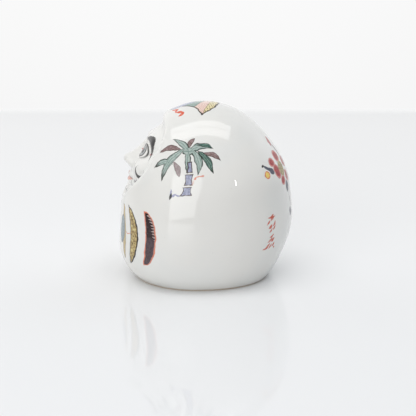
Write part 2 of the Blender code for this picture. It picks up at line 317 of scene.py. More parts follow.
def body_rings(form):
    """Rings of points from the vent's middle, out over the underside and up the wall to the crown."""
    step = np.linspace(-np.pi, np.pi, form.columns, endpoint=False)
    angle = step - FRONT_CROWDING * np.sin(step)
    around = np.stack([np.sin(angle), -np.cos(angle), np.zeros_like(angle)], axis=-1)
    up = np.array([0.0, 0.0, 1.0])
    middle = 0.4 * form.height
    wall = []
    for level in np.linspace(form.foot_edge, middle, form.rows_below, endpoint=False):
        wall.append(around * surface_distance(form, level, around)[:, None] + up * level)
    foot = wall[0] * (1.0, 1.0, 0.0) - around * form.foot_edge
    for lift in np.linspace(0.0, np.pi / 2, form.rows_above, endpoint=False):
        direction = around * np.cos(lift) + up * np.sin(lift)
        wall.append(direction * surface_distance(form, middle, direction)[:, None] + up * middle)
    crown = up * (middle + surface_distance(form, middle, up[None, :])[0])
    reach = np.concatenate(wall)[:, 1]
    to_middle = np.array([0.0, 0.5 * (reach.min() + reach.max()), 0.0])
    ring_edge = foot - around * form.foot_ring
    floor_edge = ring_edge - around * form.recess_slant + up * form.foot_recess
    vent_edge = around * form.vent_diameter / 2 + to_middle + up * form.foot_recess
    vent_end = vent_edge + up * form.vent_depth
    vent_middle = to_middle + up * (form.foot_recess + form.vent_depth)
    under = [vent_end * 0.5 + vent_middle * 0.5, vent_end, vent_edge]
    for share in np.linspace(0.0, 1.0, 8)[1:]:
        under.append(vent_edge * (1.0 - share) + floor_edge * share)
    under += [ring_edge, 0.5 * (ring_edge + foot), foot]
    rings = [ring - to_middle for ring in under + wall]
    return angle, rings, len(under), crown - to_middle


def lay_out_map(figure, points, angle, rings, under_count):
    """UV map for the baked maps: the front wall, the back wall and the underside, each in its own strip."""
    count = len(angle)
    wall = rings[under_count - 1:]
    steps = np.linalg.norm(np.diff([ring[count // 2] for ring in wall], axis=0), axis=1)
    run = np.concatenate([[0.0], np.cumsum(steps)])
    run = 0.01 + 0.98 * run / run[-1]
    turns = np.stack([angle, np.append(angle[1:], angle[0] + 2.0 * math.pi)])
    middle = turns.mean(axis=0)
    in_front = abs(middle) < HALF_FRONT

    def across(turn):
        front = (turn + HALF_FRONT) / (2.0 * HALF_FRONT)
        back = (turn + 2.0 * math.pi * (middle < 0.0) - HALF_FRONT) / (2.0 * (math.pi - HALF_FRONT))
        share = np.clip(np.where(in_front, front, back), -0.01, 1.01)
        return np.where(in_front, 0.005 + 0.58 * share, 0.595 + 0.3 * share)

    start, end, centre = across(turns[0]), across(turns[1]), across(middle)
    corners = np.empty(len(figure.loops), dtype=np.int64)
    figure.loops.foreach_get("vertex_index", corners)
    reach = abs(wall[0][:, :2]).max()
    places = (0.05, 0.95) + 0.045 * points[corners, :2] / reach
    first, last = (under_count - 1) * count * 4, (len(rings) - 1) * count * 4
    quads = places[first:last].reshape(-1, count, 4, 2)
    quads[..., 0] = np.stack([run[:-1], run[:-1], run[1:], run[1:]], axis=1)[:, None, :]
    quads[..., 1] = np.stack([start, end, end, start], axis=1)
    fan = places[last:last + count * 3].reshape(count, 3, 2)
    fan[..., 0] = (run[-1], run[-1], 1.0)
    fan[..., 1] = np.stack([start, end, centre], axis=1)
    layer = figure.uv_layers.new(name="OFBake")
    layer.data.foreach_set("uv", places.ravel())


def make_body_mesh(form):
    """The whole closed body as one mesh, with its map for baking."""
    angle, rings, under_count, crown = body_rings(form)
    count = len(angle)
    vent_middle = rings[0].mean(axis=0)
    points = np.concatenate(rings + [crown[None, :], vent_middle[None, :]])
    here = np.arange(count)
    after = (here + 1) % count
    faces = []
    for ring in range(len(rings) - 1):
        low = ring * count
        high = low + count
        faces += np.stack([low + here, low + after, high + after, high + here], axis=1).tolist()
    last = (len(rings) - 1) * count
    top = len(rings) * count
    faces += [[last + i, last + (i + 1) % count, top] for i in range(count)]
    faces += [[(i + 1) % count, i, top + 1] for i in range(count)]
    mesh = bpy.data.meshes.new("painted_body")
    mesh.from_pydata(points.tolist(), [], faces)
    mesh.update()
    mesh.shade_smooth()
    mesh.set_sharp_from_angle(angle=math.radians(40.0))
    lay_out_map(mesh, points, angle, rings, under_count)
    return mesh


# Shader maths

class Wire:
    """A socket in a material, so that shader maths reads as expressions."""

    def __init__(self, tree, socket=None):
        self.tree = tree
        self.socket = socket

    def node(self, kind, settings=None, values=None, output=0):
        """Any node: its type, its settings, and the values or wires of its sockets."""
        made = self.tree.nodes.new(kind)
        place = len(self.tree.nodes)
        made.location = (place // 24 * 190.0, -(place % 24) * 170.0)
        made.hide = True
        for name, value in (settings or {}).items():
            setattr(made, name, value)
        for name, value in (values or {}).items():
            if isinstance(value, Wire):
                self.tree.links.new(value.socket, made.inputs[name])
            else:
                made.inputs[name].default_value = value
        return Wire(self.tree, made.outputs[output] if made.outputs else None)

    def also(self, output):
        """Another output of this wire's node."""
        return Wire(self.tree, self.socket.node.outputs[output])

    def feed(self, shader, **wires):
        """Link wires to a shader's sockets; an underscore in a name stands for the space."""
        for name, wire in wires.items():
            self.tree.links.new(wire.socket, shader.inputs[name.replace("_", " ")])

    def maths(self, operation, *values):
        return self.node("ShaderNodeMath", {"operation": operation}, dict(enumerate(values)))

    def __add__(self, other):
        return self.maths("ADD", self, other)

    def __radd__(self, other):
        return self.maths("ADD", other, self)

    def __sub__(self, other):
        return self.maths("SUBTRACT", self, other)

    def __rsub__(self, other):
        return self.maths("SUBTRACT", other, self)

    def __mul__(self, other):
        return self.maths("MULTIPLY", self, other)

    def __rmul__(self, other):
        return self.maths("MULTIPLY", other, self)

    def __pow__(self, other):
        return self.maths("POWER", self, other)

    def __abs__(self):
        return self.maths("ABSOLUTE", self)

    def plus_times(self, factor, addend):
        """self * factor + addend in one node."""
        return self.maths("MULTIPLY_ADD", self, factor, addend)

    def most(self, other):
        return self.maths("MAXIMUM", self, other)

    def least(self, other):
        return self.maths("MINIMUM", self, other)

    def vector_maths(self, operation, *values):
        return self.node("ShaderNodeVectorMath", {"operation": operation}, dict(enumerate((self, *values))))

    def sine(self):
        return self.maths("SINE", self)

    def over(self, limit):
        return self.maths("GREATER_THAN", self, limit)

    def ease(self, start, end):
        """0 at start, 1 at end, smooth between; start may be the higher one."""
        settings = {"interpolation_type": "SMOOTHSTEP"}
        low, high, first, last = (start, end, 0.0, 1.0) if start < end else (end, start, 1.0, 0.0)
        values = {"Value": self, "From Min": low, "From Max": high, "To Min": first, "To Max": last}
        return self.node("ShaderNodeMapRange", settings, values)

    def dot(self, x, y, z):
        return self.node("ShaderNodeVectorMath", {"operation": "DOT_PRODUCT"}, {0: self, 1: (x, y, z)},
                         output=1)

    def far(self, x, y, z):
        """Distance from a fixed point."""
        return self.node("ShaderNodeVectorMath", {"operation": "DISTANCE"}, {0: self, 1: (x, y, z)}, output=1)

    def mix(self, under, over):
        """This wire as the share of the colour over in the colour under."""
        def four(value):
            return value if isinstance(value, Wire) else (*value[:3], 1.0)
        return self.node("ShaderNodeMix", {"data_type": "RGBA"}, {0: self, 6: four(under), 7: four(over)},
                         output=2)

    def on_sheet(self, upward):
        """This wire across and another upward, as a place on a sheet: (across, up, 1)."""
        return self.node("ShaderNodeCombineXYZ", None, {0: self, 1: upward, 2: 1.0})

    def noise(self, scale, detail=2.0, roughness=0.5, output=0):
        return self.node("ShaderNodeTexNoise", None,
                         {"Vector": self, "Scale": scale, "Detail": detail, "Roughness": roughness},
                         output=output)


# Drawing on a sheet: positions are in millimetres across and up, and each shape is below zero inside

LINE_BLUR = 0.16     # width of a brush line's soft edge
OFF_SHEET = 500.0    # what lies behind a sheet is moved this far off it
ROBE_RADIUS = 32.0   # of the sheet wrapped round the robe


def sheet(place, origin, right, up, reach=14.0):
    """A flat sheet laid against the body, as the vector (across, up, 1)."""
    origin, right, up = Vector(origin), Vector(right), Vector(up)
    out = right.cross(up)
    behind = place.dot(*(-out)).plus_times(1.0, out.dot(origin) - reach).over(0.0)
    across = place.dot(*right) - right.dot(origin)
    upward = place.dot(*up) - up.dot(origin)
    return behind.plus_times(OFF_SHEET, across).on_sheet(upward)


class Shape:
    """A stroke's distance, its place along from -1 to 1, and its place across in millimetres."""

    def __init__(self, distance, along=None, across=None):
        self.distance = distance
        self.along = along
        self.across = across

    def cut(self, limit):
        """The part of the shape where limit is below zero."""
        return Shape(self.distance.most(limit))

    def inset(self, width):
        """The shape with its edge drawn in by a width."""
        return Shape(self.distance + width)


def leaf(on, start, end, half, bend=0.0, taper=0.0):
    """A pointed leaf or stroke, bowed to its left by bend and fuller at its start by taper."""
    start, end = Vector(start), Vector(end)
    half_run = (end - start).length / 2.0
    run = (end - start).normalized()
    left = Vector((-run.y, run.x))
    middle = (start + end) / 2.0
    along = on.dot(run.x / half_run, run.y / half_run, -run.dot(middle) / half_run)
    level = on.dot(left.x, left.y, -left.dot(middle))
    fall = along.plus_times(along, -1.0)
    across = fall.plus_times(bend, level) if bend else level
    if not taper:
        return Shape(fall.plus_times(half, abs(across)), along, across)
    width = along.plus_times(-half * taper, half)
    return Shape(fall.plus_times(width, abs(across)).most(fall), along, across)


def leaves(on, *rows):
    """Several leaves; each row has a start, an end, half the width, and any bend and taper."""
    return [leaf(on, row[:2], row[2:4], *row[4:]) for row in rows]


def petal(on, centre, toward, long, wide):
    """A rounded petal, turned toward an angle in degrees."""
    turn = math.radians(toward)
    x, y = math.cos(turn), math.sin(turn)
    along = on.dot(x / long, y / long, -(x * centre[0] + y * centre[1]) / long)
    across = on.dot(-y / wide, x / wide, (y * centre[0] - x * centre[1]) / wide)
    return Shape(((along * along + across * across) ** 0.5 - 1.0) * min(long, wide), along, across)


def disc(on, centre, radius):
    return Shape(on.far(centre[0], centre[1], 1.0) - radius)


def trunk_joint(on, centre, half_wide, half_tall, lean, flare, waist):
    """A length of trunk between two rings: its sides curve in between its two ends."""
    across = on.dot(1.0, -lean, lean * centre[1] - centre[0])
    level = on.dot(0.0, 1.0, -centre[1])
    sides = abs(across) - (level * level).plus_times(waist, half_wide)
    return Shape(level.plus_times(flare, sides).most(abs(level) - half_tall), level, across)


def hook(on, centre, radius, half, cut, angle):
    """Part of a ring: the side toward the angle, up to the cut's distance past the middle."""
    turn = math.radians(angle)
    x, y = math.cos(turn), math.sin(turn)
    beyond = on.dot(-x, -y, x * centre[0] + y * centre[1] - cut)
    ring = abs(on.far(centre[0], centre[1], 1.0) - radius)
    fade = beyond.ease(0.0, -2.0 * radius)
    return Shape((ring - half * fade).most(beyond))


def group(shapes):
    """Several shapes as one."""
    distance = shapes[0].distance
    for shape in shapes[1:]:
        distance = distance.least(shape.distance)
    return Shape(distance)


def veins(shapes, gap=0.55, half=0.07, inset=0.25):
    """Fine lines along a group of leaves, a gap apart."""
    turn = math.pi / gap
    line = None
    for shape in shapes:
        wave = abs((shape.across * turn).sine()).plus_times(1.0 / turn, -half)
        vein = wave.most(shape.distance + inset)
        line = vein if line is None else line.least(vein)
    return Shape(line)


class Painting:
    """Enamel laid over the glaze, colour by colour."""

    def __init__(self, ground, film):
        self.colour = ground
        self.film = film

    def lay(self, shape, shade, strength=1.0, soft=LINE_BLUR, film=1.0):
        """Fill a shape; strength may be a number or a wire, and film is how much enamel it leaves."""
        cover = shape.distance.ease(soft / 2.0, -soft / 2.0)
        if isinstance(strength, Wire) or strength != 1.0:
            cover = cover * strength
        self.colour = cover.mix(self.colour, shade)
        if film:
            self.film = self.film.most(cover if film == 1.0 else cover * film)

    def line(self, shape, shade, half=0.16, strength=1.0, soft=LINE_BLUR):
        """Draw along the edge of a shape."""
        self.lay(Shape(abs(shape.distance) - half), shade, strength, soft)


PAINTING_INPUTS = (("Place", "NodeSocketVector"), ("Grain", "NodeSocketFloat"),
                   ("Colour", "NodeSocketColor"), ("Film", "NodeSocketFloat"))


def paint_motif(painter, place, grain, under, paint):
    """Paints one motif in a node group of its own, and lays it over the painting so far."""
    tree = bpy.data.node_groups.new(painter.__name__, "ShaderNodeTree")
    for name, kind in PAINTING_INPUTS:
        tree.interface.new_socket(name, in_out="INPUT", socket_type=kind)
    for name, kind in PAINTING_INPUTS[2:]:
        tree.interface.new_socket(name, in_out="OUTPUT", socket_type=kind)
    start = Wire(tree).node("NodeGroupInput")
    inside = Painting(start.also(2), start.also(3))
    painter(inside, start, start.also(1), paint)
    start.node("NodeGroupOutput", None, {"Colour": inside.colour, "Film": inside.film})
    values = {"Place": place, "Grain": grain, "Colour": under.colour, "Film": under.film}
    laid = place.node("ShaderNodeGroup", {"node_tree": tree}, values)
    return Painting(laid, laid.also(1))


def paint_palm(brush, place, grain, paint):
    """Palm on the figure's left side: arching fronds over a jointed violet trunk."""
    tilt = math.radians(26.0)
    on = sheet(place, (24.3, -7.5, 59.5), (0.0, 1.0, 0.0), (-math.sin(tilt), 0.0, math.cos(tilt)))
    old = leaves(on, (0.5, 0.4, 2.9, 5.1, 0.95, 0.5), (-2.6, 0.2, -11.2, -0.2, 1.15, -1.5, 0.2),
                 (6.6, -1.6, 13.7, -4.4, 1.0, 0.95))
    pale = leaf(on, (-5.5, -4.8), (-3.3, -11.3), 1.15, 0.6)
    trunk = group([trunk_joint(on, (1.15, -7.5), 0.8, 2.15, 0.02, 0.1, 0.03),
                   trunk_joint(on, (0.65, -12.6), 1.25, 2.05, 0.08, 0.02, 0.08),
                   trunk_joint(on, (-0.2, -17.3), 1.55, 1.65, 0.2, 0.12, 0.14)])
    root = leaves(on, (-2.2, -18.9, -4.9, -18.3, 0.3, 0.35), (-4.3, -18.2, -7.2, -18.9, 0.36, 0.35),
                  (-6.7, -19.8, -6.6, -15.9, 0.44))
    dab = leaf(on, (-6.3, -17.6), (-7.3, -20.3), 0.55)
    light = leaves(on, (1.0, -2.4, -5.7, 4.9, 1.2, -1.35, 0.1), (0.6, -1.5, 10.6, 0.6, 1.25, 2.0, 0.2),
                   (-0.6, 0.6, -10.4, -11.9, 1.35, -2.1, 0.05), (-6.0, -5.8, -13.4, -6.3, 1.15, -1.8, 0.2),
                   (1.6, 0.3, 4.4, -10.4, 1.35, 1.7, 0.15), (0.4, 1.6, 0.1, -9.6, 1.0, 0.0, 0.1))
    light.append(petal(on, (0.6, -0.6), 0.0, 2.5, 1.5))
    deep = leaves(on, (4.3, -0.6, 10.6, -9.8, 1.3, 1.0), (4.2, 1.9, 10.6, 0.7, 0.7, 0.75))
    streak = grain.ease(0.38, 0.62)
    dry = on.noise(0.5, 1.0, 0.5).ease(0.36, 0.56).plus_times(0.45, 0.55)
    brush.lay(group(root), tone(150, 152, 188), 0.9)
    brush.lay(dab, paint.black, 0.9)
    brush.lay(pale, streak.mix(tone(170, 154, 154), tone(148, 130, 132)), 0.9)
    brush.line(pale, tone(112, 92, 92), 0.14, dry * 0.8)
    old_all = group(old)
    brush.lay(old_all, streak.mix(tone(158, 134, 134), tone(122, 92, 88)), 0.92)
    brush.lay(veins(old, 0.75, 0.1), tone(92, 60, 58), 0.55, film=0.0)
    brush.line(old_all, tone(84, 60, 58), 0.16, dry)
    light_all = group(light)
    brush.lay(light_all, streak.mix(tone(182, 196, 190), tone(160, 180, 172)), 0.96)
    brush.lay(veins(light, 0.85, 0.11), tone(82, 112, 104), 0.65, film=0.0)
    brush.line(light_all, tone(50, 60, 54), 0.2, dry)
    deep_all = group(deep)
    brush.lay(deep_all, streak.mix(paint.deep_green, tone(70, 112, 100)), 0.92)
    brush.lay(veins(deep, 0.8, 0.12), tone(34, 62, 54), 0.75, film=0.0)
    brush.line(deep_all, tone(40, 52, 46), 0.18, dry)
    tips = Shape(group([light_all, deep_all, old_all]).distance - 0.16)
    brush.lay(tips, paint.line, on.far(0.5, -1.0, 1.0).ease(11.4, 14.2) * 0.6, film=0.0)
    brush.lay(trunk, streak.mix(paint.violet, tone(132, 136, 164)), 0.95)
    brush.line(trunk, tone(78, 64, 62), 0.2, dry)
    stroke = group([leaf(on, (2.5, -12.7), (6.9, -11.1), 0.24, 0.5), disc(on, (3.3, -12.3), 0.5),
                    petal(on, (6.2, -11.3), 8.0, 0.75, 0.38)])
    brush.lay(stroke, paint.orange, grain.ease(0.2, 0.55).plus_times(0.4, 0.5), 0.3)
    brush.lay(leaf(on, (2.1, -15.0), (3.0, -12.9), 0.35, 0.1), paint.orange, 0.35, 0.5)


def paint_robe(brush, place, grain, paint):
    """Three crescent folds on each side of the robe's front, on a sheet wrapped round the body."""
    side = abs(place.dot(1.0, 0.0, 0.0))
    ahead = place.dot(0.0, -1.0, 0.0) - MIDDLE_SHIFT
    turned = side.maths("ARCTAN2", side, ahead)
    wrap = (turned * ROBE_RADIUS).on_sheet(place.dot(0.0, 0.0, 1.0))

    def crescent(tip, lean, level, rise, inner, outer, skew, blunt=0.5):
        height = wrap.dot(0.0, 1.0 / rise, -level / rise)
        across = wrap.dot(1.0, lean, -tip - lean * level)
        fall = (1.0 - height * height).most(0.0)
        heavy = height.plus_times(skew, 1.0)
        outside = across - (fall ** blunt) * heavy * outer
        inside = fall * heavy * inner - across
        return Shape(outside.most(inside).most((abs(height) - 1.0) * rise), height, outside)

    first = crescent(12.0, 0.17, 22.0, 11.4, 0.8, 3.8, 0.1, 0.55)
    second = crescent(17.8, 0.112, 21.8, 11.8, 2.6, 7.4, 0.2, 0.62)
    third = crescent(28.0, 0.0, 22.4, 11.5, 1.7, 6.8, 0.02, 0.42)
    mottled = grain.ease(0.38, 0.64)
    blotched = wrap.noise(0.85, 2.0, 0.7)
    ragged = (grain - 0.5) * 0.5
    brush.lay(first, mottled.mix(paint.ochre, tone(190, 168, 124)), 0.92)
    brush.line(first, tone(112, 98, 76), 0.15, 0.8)
    middle = petal(wrap, (11.5, 22.9), 92.0, 5.9, 2.9)
    brush.lay(middle, mottled.mix(paint.sky, tone(112, 130, 138)), 0.97, 0.25)
    brush.line(middle, tone(92, 104, 110), 0.15, 0.8)
    brush.lay(second, mottled.mix(paint.ochre, tone(168, 138, 74)), 0.95)
    brush.lay(second.inset(0.25), tone(222, 208, 150), blotched.ease(0.52, 0.62) * 0.8, film=0.0)
    brush.lay(second.inset(0.1), tone(92, 74, 44), blotched.ease(0.47, 0.38) * 0.8, film=0.0)
    shaded = second.across.ease(-2.2, -0.2)
    brush.line(second, tone(52, 42, 32), 0.42, shaded.plus_times(0.5, 0.5))
    border = abs((third.distance + ragged * 0.6).plus_times(1.0, 0.3)) - 0.36
    brush.lay(Shape(border), paint.orange, grain.ease(0.2, 0.5).plus_times(0.3, 0.65), 0.3)
    upper = third.along.ease(-0.05, 0.15)
    brush.lay(third.inset(0.5), tone(150, 116, 110), 0.72)
    teeth = (wrap.dot(0.5, 5.4, 0.0).sine()).plus_times(0.5, 0.35) * upper
    edge = third.across.plus_times(1.0, 0.62) + teeth * 1.5
    filled = Shape((third.distance + 0.5).most(edge) + ragged * 0.4)
    brush.lay(filled, mottled.mix(tone(100, 84, 92), tone(80, 64, 70)), 0.96)
    dark = upper * blotched.ease(0.34, 0.48) * 0.85
    brush.lay(filled, tone(44, 26, 26), dark, film=0.0)
    brush.lay(filled.cut(0.9 + third.across), tone(44, 28, 28), 0.35, film=0.0)
    brush.lay(leaf(wrap, (15.0, 23.2), (20.6, 23.3), 0.24, -0.95), paint.orange, 0.8)


def paint_blossom(brush, place, grain, paint):
    """Plum on the back: a blossom of rounded petals, buds, small leaves and a thin branch."""
    turn = math.radians(20.0)
    lean = math.radians(30.0)
    right = Vector((-math.cos(turn), math.sin(turn), 0.0))
    out = Vector((math.sin(turn) * math.cos(lean), math.cos(turn) * math.cos(lean), math.sin(lean)))
    on = sheet(place, (9.4, 31.5, 48.5), right, out.cross(right), 22.0)
    branch = leaves(on, (1.2, 11.8, 4.4, 4.2, 0.6, 0.5), (0.4, -9.4, 1.1, -19.0, 0.3, 0.7),
                    (4.0, -3.6, 20.5, -9.5, 0.42, 1.6), (12.0, -4.8, 17.6, 2.0, 0.26, 0.7))
    brush.lay(group(branch), tone(84, 84, 92), 0.85)
    petals = [petal(on, (-1.2, 5.6), 95.0, 2.6, 2.5), petal(on, (-7.2, 4.1), 80.0, 2.1, 1.9),
              petal(on, (-6.0, -0.2), 100.0, 3.2, 2.2), petal(on, (-3.2, -4.7), 60.0, 2.0, 1.9),
              petal(on, (2.5, -3.8), 290.0, 2.4, 2.1), petal(on, (4.8, 2.2), 20.0, 2.5, 2.4)]
    for angle in (60.0, 132.0, 204.0, 276.0, 348.0):
        turned = math.radians(angle)
        centre = (18.0 + 2.3 * math.cos(turned), 4.4 + 2.3 * math.sin(turned))
        petals.append(petal(on, centre, angle, 1.5, 1.25))
    petals_all = group(petals)
    pale = grain.ease(0.38, 0.68)
    inward = petals_all.distance.ease(-0.1, -0.8)
    brush.lay(petals_all, (pale * 0.5 + 0.5).mix(tone(206, 104, 94), tone(226, 150, 138)), 0.92, 0.35)
    brush.lay(petals_all.inset(0.3), pale.mix(tone(150, 26, 28), tone(188, 60, 52)), inward, 0.4)
    brush.line(petals_all, tone(160, 60, 54), 0.14, grain.ease(0.3, 0.6) * 0.7, 0.3)
    middle = petal(on, (-1.5, 0.0), 80.0, 3.2, 2.6)
    brush.lay(middle, grain.ease(0.35, 0.6).mix(tone(204, 184, 108), tone(148, 130, 72)), 0.92)
    spokes = [leaf(on, (-1.3, 0.1), (-1.5 + 3.9 * math.cos(a), 0.1 + 4.2 * math.sin(a)), 0.2)
              for a in (0.3, 1.2, 2.1, 3.0, 3.9, 4.8, 5.7)]
    brush.lay(group(spokes), tone(84, 74, 40), 0.9)
    brush.lay(disc(on, (18.0, 4.4), 1.1), paint.yellow, 0.9)
    buds = [leaf(on, (2.3, 14.8), (0.5, 9.9), 1.35), petal(on, (21.6, -10.2), 330.0, 1.5, 1.0)]
    brush.lay(group(buds), paint.red, 0.85, 0.3)
    dark = leaves(on, (-13.6, 4.9, -8.6, 0.0, 0.75, 0.1, -0.4), (0.2, -5.2, -0.6, -10.3, 1.9, 0.2),
                  (1.0, -16.2, 0.4, -20.0, 1.5, 0.2), (9.0, -5.0, 12.4, -9.4, 0.8, 0.4))
    dark.append(petal(on, (-9.7, 0.9), 300.0, 1.5, 1.2))
    brush.lay(group(dark), grain.ease(0.4, 0.6).mix(paint.navy, tone(52, 58, 82)), 0.92)
    brush.lay(disc(on, (-13.4, 4.7), 0.62), paint.black, 0.95)
    round_bud = disc(on, (-13.0, 0.5), 1.4)
    brush.lay(round_bud, paint.yellow, 0.95)
    brush.line(round_bud.inset(0.1), paint.orange, 0.26, grain.ease(0.3, 0.6).plus_times(0.5, 0.45))


def paint_strokes(brush, place, grain, paint):
    """Two clusters of plain red brush strokes low on the side of the back."""
    turn = math.radians(48.0)
    on = sheet(place, (23.3, 26.6, 24.9), (-math.cos(turn), math.sin(turn), 0.0), (0.0, 0.0, 1.0), 12.0)
    marks = leaves(on, (1.4, 7.3, -2.0, 5.9, 0.48, 0.5), (2.3, 6.2, -0.6, 4.2, 0.51, -0.5),
                   (-0.9, 4.9, -2.4, 2.9, 0.42, 0.2), (2.2, 4.3, 0.6, 2.3, 0.51, 0.4),
                   (0.3, 3.2, -1.6, 1.3, 0.6, 0.3), (2.5, 2.4, 1.2, 0.4, 0.39, -0.3),
                   (0.6, 1.5, -1.3, -0.2, 0.45, 0.3), (1.8, -1.3, -0.9, -2.4, 0.48, 0.4),
                   (0.9, -2.6, -1.7, -4.7, 0.51, 0.4), (2.3, -3.0, 0.6, -4.9, 0.51, -0.3),
                   (0.1, -4.6, -3.9, -7.9, 0.51, 0.7), (2.6, -4.8, 1.3, -7.0, 0.45, 0.2),
                   (1.0, -5.6, -0.5, -7.6, 0.48, 0.2))
    marks.append(disc(on, (2.9, -7.4), 0.46))
    brush.lay(group(marks), tone(206, 100, 80), grain.ease(0.25, 0.55).plus_times(0.4, 0.6), 0.28)


def paint_book(brush, place, grain, paint):
    """Folded book of coloured leaves over the crown, with a ribbon and a red flourish before it."""
    on = sheet(place, (0.0, 0.0, 74.0), (0.0, 1.0, 0.0), (-1.0, 0.0, 0.0), 26.0)
    run = on.dot(0.89, -0.455, 0.0)
    step = on.dot(0.455, 0.89, 0.0)
    bulge = (step + 3.6) * 0.134
    spine = bulge.plus_times(bulge * 1.9, run) - 6.1
    corner = run.plus_times(-0.633, -8.47) - step
    near = corner.least(run.plus_times(-0.24, -8.05) - step)
    far_end = corner.plus_times(-1.0, -17.0)
    fold = step.plus_times(0.214, run) - 2.07
    edge = Shape(spine.most(near).most(far_end).most(-9.4 - run))
    brush.lay(edge, grain.ease(0.35, 0.65).mix(tone(242, 230, 176), tone(228, 212, 158)), 0.92)
    rose = edge.cut(fold)
    brush.lay(rose, paint.pink, 0.95)
    water = edge.cut(run + 1.3)
    brush.lay(water, grain.ease(0.35, 0.65).mix(paint.teal, tone(128, 154, 146)), 0.95)
    dusk = edge.cut(run + 6.9)
    brush.lay(dusk, paint.violet, 0.9)
    red_lines = abs((run * 4.0).sine()).plus_times(0.25, -0.07)
    brush.lay(rose.cut(red_lines).cut(-1.2 - run), tone(204, 92, 78), 0.9, film=0.0)
    dots = ((run * 4.6).sine() * (step * 3.4).sine() - 0.4) * -0.3
    brush.lay(edge.cut(dots).cut(0.1 - fold), tone(110, 90, 50), 0.85, film=0.0)
    brush.line(edge, tone(66, 54, 46), 0.31, 0.95)
    brush.lay(edge.cut(abs(fold) - 0.16), tone(120, 100, 80), 0.6, film=0.0)
    brush.lay(edge.cut(abs(run + 1.3) - 0.16), tone(70, 96, 88), 0.7, film=0.0)
    brush.lay(disc(on, (-1.4, -11.7), 0.55), paint.line, 0.9)
    ribbon = group([leaf(on, (-14.6, 0.6), (-4.4, 0.6), 2.4), petal(on, (-11.6, 0.6), 0.0, 3.0, 2.3)])
    brush.lay(ribbon, paint.violet, 0.92)
    brush.line(ribbon, tone(92, 88, 116), 0.2, 0.8)
    flourish = leaves(on, (-14.0, -2.2, -11.0, -4.6, 0.6, -0.3), (-11.2, -3.6, -12.4, -7.0, 0.55, -0.4),
                      (-12.6, -6.2, -8.8, -9.2, 0.85, 0.2), (-8.9, -8.4, -11.4, -10.1, 0.85, 0.5))
    brush.lay(group(flourish), tone(224, 92, 58), grain.ease(0.2, 0.5).plus_times(0.3, 0.68), 0.25)


def paint_sprig(brush, place, grain, paint):
    """A plain bamboo sprig on the figure's right side, in the palm's enamels."""
    tilt = math.radians(24.0)
    on = sheet(place, (-27.5, -4.0, 52.0), (0.0, -1.0, 0.0), (math.sin(tilt), 0.0, math.cos(tilt)))
    stems = leaves(on, (-1.6, -12.6, -0.8, -6.2, 0.55), (-0.9, -6.0, 0.4, 0.2, 0.5), (0.5, 0.4, 2.4, 6.0, 0.42))
    light = leaves(on, (-0.6, -4.4, -8.4, -8.6, 1.15, 0.8), (-0.2, -1.6, -8.0, -1.2, 1.1, -0.9),
                   (0.6, 1.2, 8.4, 2.2, 1.15, 0.9), (2.3, 5.8, -2.6, 10.4, 1.0, 0.6))
    deep = leaves(on, (-0.2, -2.6, 6.9, -7.4, 1.15, 0.7), (2.2, 5.4, 8.6, 8.4, 1.05, 0.6),
                  (1.4, 3.4, -5.4, 4.6, 1.0, -0.7))
    streak = grain.ease(0.35, 0.7)
    stems = group(stems)
    brush.lay(stems, paint.violet, 0.9)
    brush.line(stems, paint.line, 0.12, 0.6)
    for shapes, shade, pale in ((light, paint.green, tone(176, 198, 190)),
                                (deep, paint.deep_green, tone(92, 158, 134))):
        spray = group(shapes)
        brush.lay(spray, streak.mix(shade, pale), 0.93)
        brush.lay(spray.inset(0.25), tone(50, 70, 60), 0.65, film=0.0)
        brush.line(spray, tone(60, 74, 64), 0.13, 0.8)


